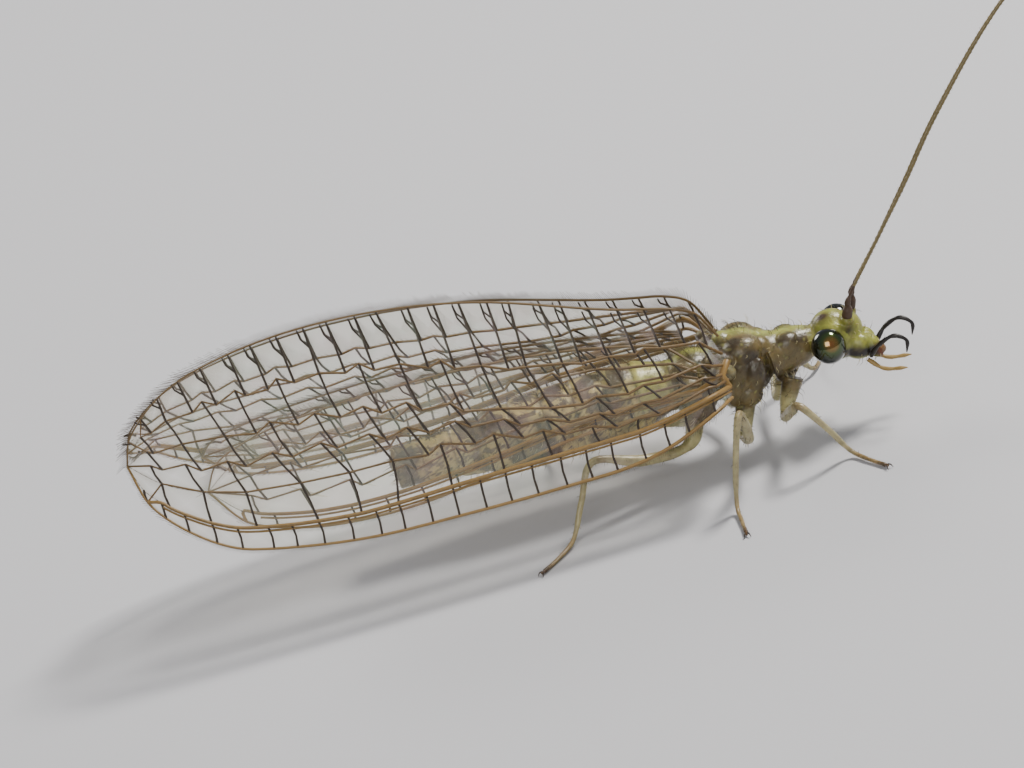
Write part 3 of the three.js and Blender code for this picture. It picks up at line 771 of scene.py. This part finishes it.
def add_legs(flesh):
    """The six legs, thin-footed, with a swollen femur."""
    for key, joints in LEGS.items():
        femur = HIND_FEMUR_RADIUS if key.startswith("hind") else FEMUR_RADIUS
        radii = [(0, 0.24), (0.1, 0.18), (0.15, 0.11), (0.21, femur), (0.36, femur * 1.06), (0.46, 0.085),
                 (0.5, 0.09), (0.6, 0.075), (0.74, 0.07), (0.77, 0.058), (0.95, 0.05), (1, 0.055)]
        flesh.limb(joints, radii, 110, 14)


def lay(colour, layers):
    """A linear colour for every point: an sRGB colour with (colour, mask) layers over it."""
    out = np.tile(np.array(linear(colour)), (len(layers[0][1]), 1))
    for over, mask in layers:
        mask = np.clip(mask, 0, 1)[:, None]
        out = out * (1 - mask) + np.array(linear(over)) * mask
    return out


def abdomen_colours(points, waves, fine):
    """Straw with dark mottling, a band on each segment and a dark tip."""
    x, y, z = points.T
    share = np.clip((ABDOMEN_FRONT - x) / ABDOMEN_LENGTH, 0, 1) * SEGMENTS
    segment = share % 1
    angle = np.arctan2(z - AXIS_Z, np.abs(y))
    back_band = (angle > 0.75) * (segment > 0.25) * (segment < 0.8) * (waves > -0.5)
    side_dashes = (np.abs(angle + 0.1) < 0.22) * (segment > 0.3) * (fine > -0.4)
    green_front = (share < 1.1) * (angle > -0.2)
    return lay((178, 160, 100), [
        ((58, 40, 20), 0.9 * np.clip(waves * 1.6 + 0.2, 0, 1)),
        ((44, 30, 16), 0.8 * np.clip(fine * 1.6 - 0.4, 0, 1)),
        ((62, 44, 26), 0.85 * back_band),
        ((84, 66, 38), 0.7 * side_dashes),
        ((178, 178, 88), 0.7 * green_front),
        ((52, 38, 24), 0.8 * ramp(share, 8.0, 0.6)),
        ((72, 56, 34), 0.6 * bell(segment, 0.02, 0.07)),
    ])


def thorax_colours(points, waves, fine):
    """Brown with dark mottling, green flecks and a green stripe down the back."""
    stripe = bell(points[:, 1], 0, 0.16) * (points[:, 2] > AXIS_Z + 0.35)
    return lay((100, 86, 50), [
        ((42, 31, 20), 0.8 * np.clip(waves * 1.2 + 0.35, 0, 1)),
        ((34, 25, 16), 0.6 * np.clip(fine * 1.2 - 0.3, 0, 1)),
        ((150, 144, 80), 0.6 * np.clip(fine - 0.7, 0, 1)),
        ((158, 162, 76), 0.75 * stripe),
    ])


def head_colours(forward, left, up, fine):
    """Yellow-green with brown spots on top, a dark cheek stripe and a red-brown mouth."""
    out = np.abs(left)
    crown_spots = bell(forward, -0.1, 0.2) * bell(out, 0.17, 0.1) * (up > 0.2)
    cheek_stripe = bell(up + 0.25 * (forward - 0.4), -0.3, 0.13) * (forward > 0.2) * (out > 0.12)
    brow_bar = bell(forward, 0.45, 0.12) * bell(up, 0.2, 0.1) * (out < 0.4)
    sockets = np.exp(-((forward - 0.44) ** 2 + (out - 0.2) ** 2 + (up - 0.42) ** 2) / 0.02)
    return lay((138, 140, 56), [
        ((58, 40, 22), 1.2 * crown_spots),
        ((24, 17, 12), 1.5 * cheek_stripe),
        ((44, 32, 20), 0.9 * brow_bar),
        ((92, 50, 28), 0.9 * ramp(forward, 0.86, 0.12) * (up < -0.3)),
        ((108, 100, 62), 0.7 * ramp(forward, -0.2, -0.25)),
        ((92, 80, 40), 0.5 * np.clip(fine * 0.8 - 0.1, 0, 1)),
        ((74, 52, 34), 0.8 * sockets),
    ])


def leg_colours(along):
    """Pale, with a dark knee and darker feet."""
    return lay((158, 148, 108), [
        ((168, 160, 112), 1.0 * (along < 0.2)),
        ((112, 92, 56), 0.75 * bell(along, 0.48, 0.03)),
        ((118, 90, 52), 0.7 * ramp(along, 0.76, 0.08)),
        ((54, 36, 22), 0.9 * ramp(along, 0.95, 0.04)),
    ])


def ripples(points, rng, rates):
    """A sum of waves that run in chance directions."""
    return sum(np.sin(points @ rng.normal(0, rate, 3) + rng.uniform(0, 6.3)) for rate in rates)


def skin_colours(points):
    """Colours of the skin by place, in linear values."""
    rng = np.random.default_rng(NOISE_SEED)
    waves = ripples(points, rng, (3, 4, 5, 7, 9, 11)) / 3
    fine = ripples(points, rng, (13, 17, 21, 26, 31)) / 2.5
    x, y, z = points.T
    colours = np.tile(np.array(linear((112, 104, 70))), (len(points), 1))
    body = np.hypot(y, z - AXIS_Z) < BODY_RADIUS
    abdomen = body & (x < THORAX_REAR)
    colours[abdomen] = abdomen_colours(points, waves, fine)[abdomen]
    thorax = body & (x >= THORAX_REAR) & (x < THORAX_FRONT)
    colours[thorax] = thorax_colours(points, waves, fine)[thorax]
    local = points - np.array(HEAD)
    c, s = math.cos(HEAD_YAW), math.sin(HEAD_YAW)
    forward, left = local[:, 0] * c - local[:, 1] * s, local[:, 0] * s + local[:, 1] * c
    head = (x > THORAX_FRONT) & (np.abs(left) < 0.9) & (z > 1.1) & (forward < 1.4)
    colours[head] = head_colours(forward, left, local[:, 2], fine)[head]
    for joints in LEGS.values():
        nearest = np.full(len(points), 9.0)
        along = np.zeros(len(points))
        for k, q in enumerate(smooth_path(joints, LEG_STEPS)):
            d = np.linalg.norm(points - q, axis=1)
            along = np.where(d < nearest, k / (LEG_STEPS - 1), along)
            nearest = np.minimum(nearest, d)
        leg = ramp(nearest, 0.46, -0.1) * ramp(along, 0.03, 0.06) * np.where(body, ramp(z, 1.5, -0.35), 1)
        leg = leg[:, None]
        colours = colours * (1 - leg) + leg_colours(along) * leg
    return colours


def body_hairs(thing, length):
    """Fine hairs scattered over the skin, leaning backwards, longer on thorax and abdomen than on legs."""
    rng = random.Random(NOISE_SEED)
    mesh, lines = thing.data, []
    dark, pale = linear((40, 30, 20)), linear((190, 178, 130))
    for _ in range(HAIR_TRIES):
        vertex = mesh.vertices[rng.randrange(len(mesh.vertices))]
        p, n = vertex.co.copy(), vertex.normal.copy()
        slim = math.hypot(p.y, p.z - AXIS_Z) > BODY_RADIUS or p.z < 1.1
        if p.z < 0.1 or (p.x > 2.1 and not slim and rng.random() < 0.7):
            continue
        size = length * (0.35 if slim else 1.0) * rng.uniform(0.6, 1.2)
        lean = Vector((-0.2, 0, -0.7)) if slim else Vector((-0.6, 0, -0.15))
        way = (n + lean + Vector([rng.uniform(-0.2, 0.2) for _ in range(3)])).normalized()
        path = [p - n * 0.02, p + (n + way).normalized() * size * 0.5, p + way * size]
        path = [Vector((q.x, q.y, max(q.z, 0.01))) for q in path]
        lines.append((path, HAIR_RADII, dark if rng.random() < 0.7 else pale))
    return lines


def claw_lines():
    """A pair of hooked claws and a soft pad at the end of each foot."""
    lines = []
    for joints in LEGS.values():
        end, before = Vector(joints[-1]), Vector(joints[-2])
        ahead = (end - before).normalized()
        out = ahead.cross(Vector((0, 0, 1))).normalized()
        for side in (-1, 1):
            path = [end, end + ahead * 0.08 + out * side * 0.05 + Vector((0, 0, 0.02)),
                    end + ahead * 0.14 + out * side * 0.07 - Vector((0, 0, 0.05))]
            lines.append((smooth_path(path, 7), np.linspace(0.026, 0.006, 7), linear(CLAW_COLOUR)))
        lines.append(([end - ahead * 0.02, end + ahead * 0.07], (0.04, 0.03), linear(PAD_COLOUR)))
    return lines


class SkinSettings(bpy.types.PropertyGroup):
    """Sizes of the skin."""

    voxel: bpy.props.FloatProperty(name="Skin Detail", description="Cell size of the skin in millimetres",
                                   default=0.026, min=0.015, max=0.1)
    hair: bpy.props.FloatProperty(name="Hair Length", description="Length of the body's hairs in millimetres",
                                  default=0.2, min=0.05, max=0.5)


class WingSettings(bpy.types.PropertyGroup):
    """Sizes of the wings."""

    vein: bpy.props.FloatProperty(name="Vein Radius", description="Radius of a crossvein in millimetres",
                                  default=0.027, min=0.005, max=0.08)
    shine: bpy.props.FloatProperty(name="Membrane Shine", description="Share of light the membrane reflects",
                                   default=0.012, min=0.0, max=1.0, subtype="FACTOR")
    fringe: bpy.props.FloatProperty(name="Fringe Length", description="Length of the fringe in millimetres",
                                    default=0.27, min=0.05, max=0.5)


class StageSettings(bpy.types.PropertyGroup):
    """The studio."""

    floor: bpy.props.FloatVectorProperty(name="Floor Colour", description="Colour of the pale floor",
                                         default=(0.50, 0.50, 0.53), subtype="COLOR")
    key: bpy.props.FloatProperty(name="Key Light", description="Power of the main light in watts",
                                 default=0.27, min=0.0, unit="POWER")
    lens: bpy.props.FloatProperty(name="Lens", description="Focal length in millimetres", default=200, min=20)


class LACEWING_OT_skin(bpy.types.Operator):
    """Builds the seamless skin of head, thorax, abdomen and legs, its hair and the claws"""

    bl_idname = "lacewing.skin"
    bl_label = "Build Skin"

    def execute(self, context):
        settings = context.scene.lacewing_skin
        thing = self.fuse(settings.voxel)
        points = np.empty(len(thing.data.vertices) * 3, np.float32)
        thing.data.vertices.foreach_get("co", points)
        paint(thing.data, skin_colours(points.reshape(-1, 3).astype(float)))
        thing.data.shade_smooth()
        thing.data.materials.append(shader("chitin"))
        hairs = body_hairs(thing, settings.hair)
        to_frame(thing)
        nodes = ["head", "prothorax", "mesothorax", "metathorax", "abdomen"]
        finish_piece(thing, nodes + [f"leg_{key}" for key in LEGS])
        finish_piece(strands("body_hair", hairs, 3, "hair"), coat=True)
        finish_piece(strands("claws", claw_lines(), 6, "claw"))
        return {"FINISHED"}

    def fuse(self, voxel):
        """All the forms as one smooth skin."""
        flesh = Flesh()
        add_abdomen(flesh)
        flesh.body_balls(TRUNK)
        for side in (-1, 1):
            flesh.body_balls(THORAX_PAIRS, side)
            flesh.head_balls(HEAD_PAIRS, side)
        flesh.body_balls(SCUTELLUM)
        flesh.limb(NECK, NECK_RADII, 24, 32)
        flesh.head_balls(HEAD_MIDDLE)
        add_legs(flesh)
        thing = store_bmesh("insect_skin", flesh.bm)
        remesh = thing.modifiers.new("Fuse", "REMESH")
        remesh.mode = "VOXEL"
        remesh.voxel_size = voxel
        soften = thing.modifiers.new("Soften", "SMOOTH")
        soften.factor = 0.5
        soften.iterations = 6
        bake_modifiers(thing)
        return thing


class LACEWING_OT_head(bpy.types.Operator):
    """Builds eyes, feelers and palps"""

    bl_idname = "lacewing.head"
    bl_label = "Build Eyes and Feelers"

    def execute(self, context):
        for label, side in (("right", -1), ("left", 1)):
            self.eye(label, side)
            self.feeler(label, side)
            self.palps(label, side)
        return {"FINISHED"}

    def eye(self, label, side):
        """A near-round compound eye: a painted copper highlight round the glint's direction, fading into the
        eye's own dark green-bronze.
        """
        forward, left, up = EYE_PLACE
        centre = head_point(forward, side * left, up)
        matrix = (Matrix.Translation(centre) @ Matrix.Rotation(-HEAD_YAW, 4, "Z")
                  @ Matrix.Diagonal((*EYE_RADII, 1)))
        bm = bmesh.new()
        bmesh.ops.create_icosphere(bm, subdivisions=5, radius=1, matrix=matrix)
        thing = store_bmesh(f"compound_eye_{label}", bm)
        mesh = thing.data
        mesh.shade_smooth()
        # Painted highlight: copper where the surface faces the glint's direction, darkening to the eye's own
        # dark colour away from it
        glint = np.array(EYE_GLINT) * (1, side, 1)
        way = (np.array([list(v.co) for v in mesh.vertices]) - np.array(centre)) / EYE_RADII[0]
        off = 1 - way @ (glint / np.linalg.norm(glint))
        channels = [[(at, linear(colour)[k]) for at, colour in EYE_COLOURS_AND_HIGHLIGHT] for k in range(3)]
        paint(mesh, np.stack([read_rows(rows, off) for rows in channels], axis=1))
        mesh.materials.append(shader("eye_facets"))
        to_frame(thing)
        finish_piece(thing, [f"eye_{label}"])

    def feeler(self, label, side):
        """A thick base joint and a long ringed thread, with short bristles."""
        base = [head_point(forward, side * left, up) for forward, left, up in FEELER_BASE]
        path = smooth_path(base + [Vector(p) for p in ANTENNAE[side]], FEELER_STEPS)
        length = lengths_along(path)
        rings = 0.1 * np.sin(length * 2 * math.pi / RING_LENGTH) * (length > THREAD_START)
        widths = read_rows(FEELER_RADII, length) * (1 + rings)
        parts = [(path[:BASE_STEPS + 1], widths[:BASE_STEPS + 1], linear((66, 46, 30))),
                 (path[BASE_STEPS:], widths[BASE_STEPS:], linear((112, 98, 60)))]
        finish_piece(strands(f"feeler_{label}", parts, 10, "feeler"), [f"antenna_{label}"])
        rng = random.Random(9 + side)
        bristles = []
        for k in range(50, FEELER_STEPS - 1, 3):
            p, ahead = Vector(path[k]), Vector(path[k + 1] - path[k]).normalized()
            out = ahead.cross(Vector([rng.uniform(-1, 1) for _ in range(3)])).normalized()
            bristles.append(([p, p + out * 0.07 + ahead * 0.06], (0.005, 0.0015), linear((70, 58, 36))))
        finish_piece(strands(f"feeler_bristles_{label}", bristles, 3, "hair"), coat=True)

    def palps(self, label, side):
        """Jointed palps: dark upper pair, pale lower pair."""
        share = np.linspace(0, 1, PALP_STEPS)
        for kind, points, radius, swells, colour in PALPS:
            path = smooth_path([head_point(f, side * w, u) for f, w, u in points], PALP_STEPS)
            widths = radius * (1 + 0.3 * np.abs(np.sin(share * math.pi * swells)))
            widths *= read_rows(PALP_TAPER, share)
            line = (path, widths, linear(colour))
            piece = strands(f"{kind}_jointed_{label}", [line], 10, "palp_shell")
            finish_piece(piece, [f"{kind}_palp_{label}"])


class LACEWING_OT_wings(bpy.types.Operator):
    """Builds the four wings: clear membrane, net of veins and hair fringe"""

    bl_idname = "lacewing.wings"
    bl_label = "Build Wings"

    def execute(self, context):
        settings = context.scene.lacewing_wings
        fore = vein_net(FORE_COSTA, FORE_HIND, FORE_VEINS, FORE_CELLS, FORE_SEED)
        hind = vein_net(HIND_COSTA, HIND_HIND, HIND_VEINS, HIND_CELLS, HIND_SEED)
        for label, side in (("right", -1), ("left", 1)):
            self.dress(f"forewing_{label}", Wing(fore, FORE_STANDOFF, side), settings)
            self.dress(f"hindwing_{label}", Wing(hind, HIND_STANDOFF, side), settings)
        return {"FINISHED"}

    def dress(self, name, wing, settings):
        """The three pieces of one wing."""
        verts, faces, veil = wing.membrane()
        sheet = store_mesh(f"{name}_membrane", verts, faces)
        store_values(sheet.data, "Veil", veil)
        sheet.data.materials.append(membrane_shader(settings.shine))
        to_frame(sheet)
        finish_piece(sheet, [name])
        finish_piece(strands(f"{name}_veins", wing.vein_lines(settings.vein), 8, "vein"))
        coat = strands(f"{name}_hairs", wing.hair_lines(settings.fringe), 3, "hair")
        finish_piece(coat, coat=True)


class LACEWING_OT_stage(bpy.types.Operator):
    """Builds the pale floor, the soft lights and the camera"""

    bl_idname = "lacewing.stage"
    bl_label = "Build Stage"

    def execute(self, context):
        """Adds floor, world, lights and camera."""
        settings = context.scene.lacewing_stage
        self.floor(settings.floor)
        world = context.scene.world or bpy.data.worlds.new("studio")
        context.scene.world = world
        world.use_nodes = True
        set_inputs(world.node_tree.nodes["Background"], {"Color": (0.86, 0.9, 1.0, 1), "Strength": 0.3})
        for name, place, size, share in LIGHTS:
            light = bpy.data.lights.new(name, "AREA")
            light.size = size
            light.energy = settings.key * share
            light.color = (1.0, 0.97, 0.9)
            lamp = link_object(name, light)
            lamp.location = place
            lamp.rotation_euler = (LIGHT_TARGET - Vector(place)).to_track_quat("-Z", "Y").to_euler()
        context.scene.camera = self.camera(settings.lens)
        return {"FINISHED"}

    def floor(self, colour):
        """A plain square floor."""
        corners = [(x * FLOOR_HALF, y * FLOOR_HALF, 0) for x, y in ((-1, -1), (1, -1), (1, 1), (-1, 1))]
        floor = store_mesh("studio_floor", corners, [(0, 1, 2, 3)])
        floor.data.transform(Matrix.Scale(MM, 4))
        material, _, surface = new_material("studio_floor")
        set_inputs(surface, {"Base Color": (*colour, 1), "Roughness": 0.9})
        floor.data.materials.append(material)

    def camera(self, lens):
        """The camera at the photograph's viewing angle."""
        data = bpy.data.cameras.new("camera")
        data.lens = lens
        data.sensor_width = 36
        data.clip_start = 0.001
        data.clip_end = 10
        out = Vector((0, -math.cos(ELEVATION), math.sin(ELEVATION)))
        up = Vector((0, math.sin(ELEVATION), math.cos(ELEVATION)))
        across = Vector((1, 0, 0))
        right = across * math.cos(ROLL) - up * math.sin(ROLL)
        top = across * math.sin(ROLL) + up * math.cos(ROLL)
        centre = Vector((PICTURE_X + SHIFT_X, 0, 0)) + up * PICTURE_UP
        place = (centre + out * (DISTANCE + DISTANCE_PER_LENS * lens)) * MM
        camera = link_object("camera", data)
        camera.matrix_world = Matrix.Translation(place) @ Matrix((right, top, out)).transposed().to_4x4()
        return camera


class LACEWING_PT_panel(bpy.types.Panel):
    """Lists the lacewing's sizes and operators"""

    bl_idname = "LACEWING_PT_panel"
    bl_label = "Lacewing"
    bl_space_type = "VIEW_3D"
    bl_region_type = "UI"
    bl_category = "Lacewing"

    def draw(self, context):
        """Draws the settings and buttons."""
        scene = context.scene
        for settings, names in ((scene.lacewing_skin, ("voxel", "hair")),
                                (scene.lacewing_wings, ("vein", "shine", "fringe")),
                                (scene.lacewing_stage, ("floor", "key", "lens"))):
            for name in names:
                self.layout.prop(settings, name)
        for operator in OPERATORS:
            self.layout.operator(operator.bl_idname)


OPERATORS = (LACEWING_OT_skin, LACEWING_OT_head, LACEWING_OT_wings, LACEWING_OT_stage)
SETTINGS = {"lacewing_skin": SkinSettings, "lacewing_wings": WingSettings, "lacewing_stage": StageSettings}


def register():
    """Registers the classes and the scene's settings."""
    for group in SETTINGS.values():
        bpy.utils.register_class(group)
    for item in (*OPERATORS, LACEWING_PT_panel):
        bpy.utils.register_class(item)
    for name, group in SETTINGS.items():
        setattr(bpy.types.Scene, name, bpy.props.PointerProperty(type=group))


def unregister():
    """Removes the scene's settings and the classes."""
    for name in SETTINGS:
        delattr(bpy.types.Scene, name)
    for item in (LACEWING_PT_panel, *reversed(OPERATORS), *SETTINGS.values()):
        bpy.utils.unregister_class(item)


def main():
    """Builds everything in order."""
    register()
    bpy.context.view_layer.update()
    bpy.ops.lacewing.skin()
    bpy.ops.lacewing.head()
    bpy.ops.lacewing.wings()
    bpy.ops.lacewing.stage()
    bpy.context.view_layer.update()


if __name__ == "__main__":
    main()
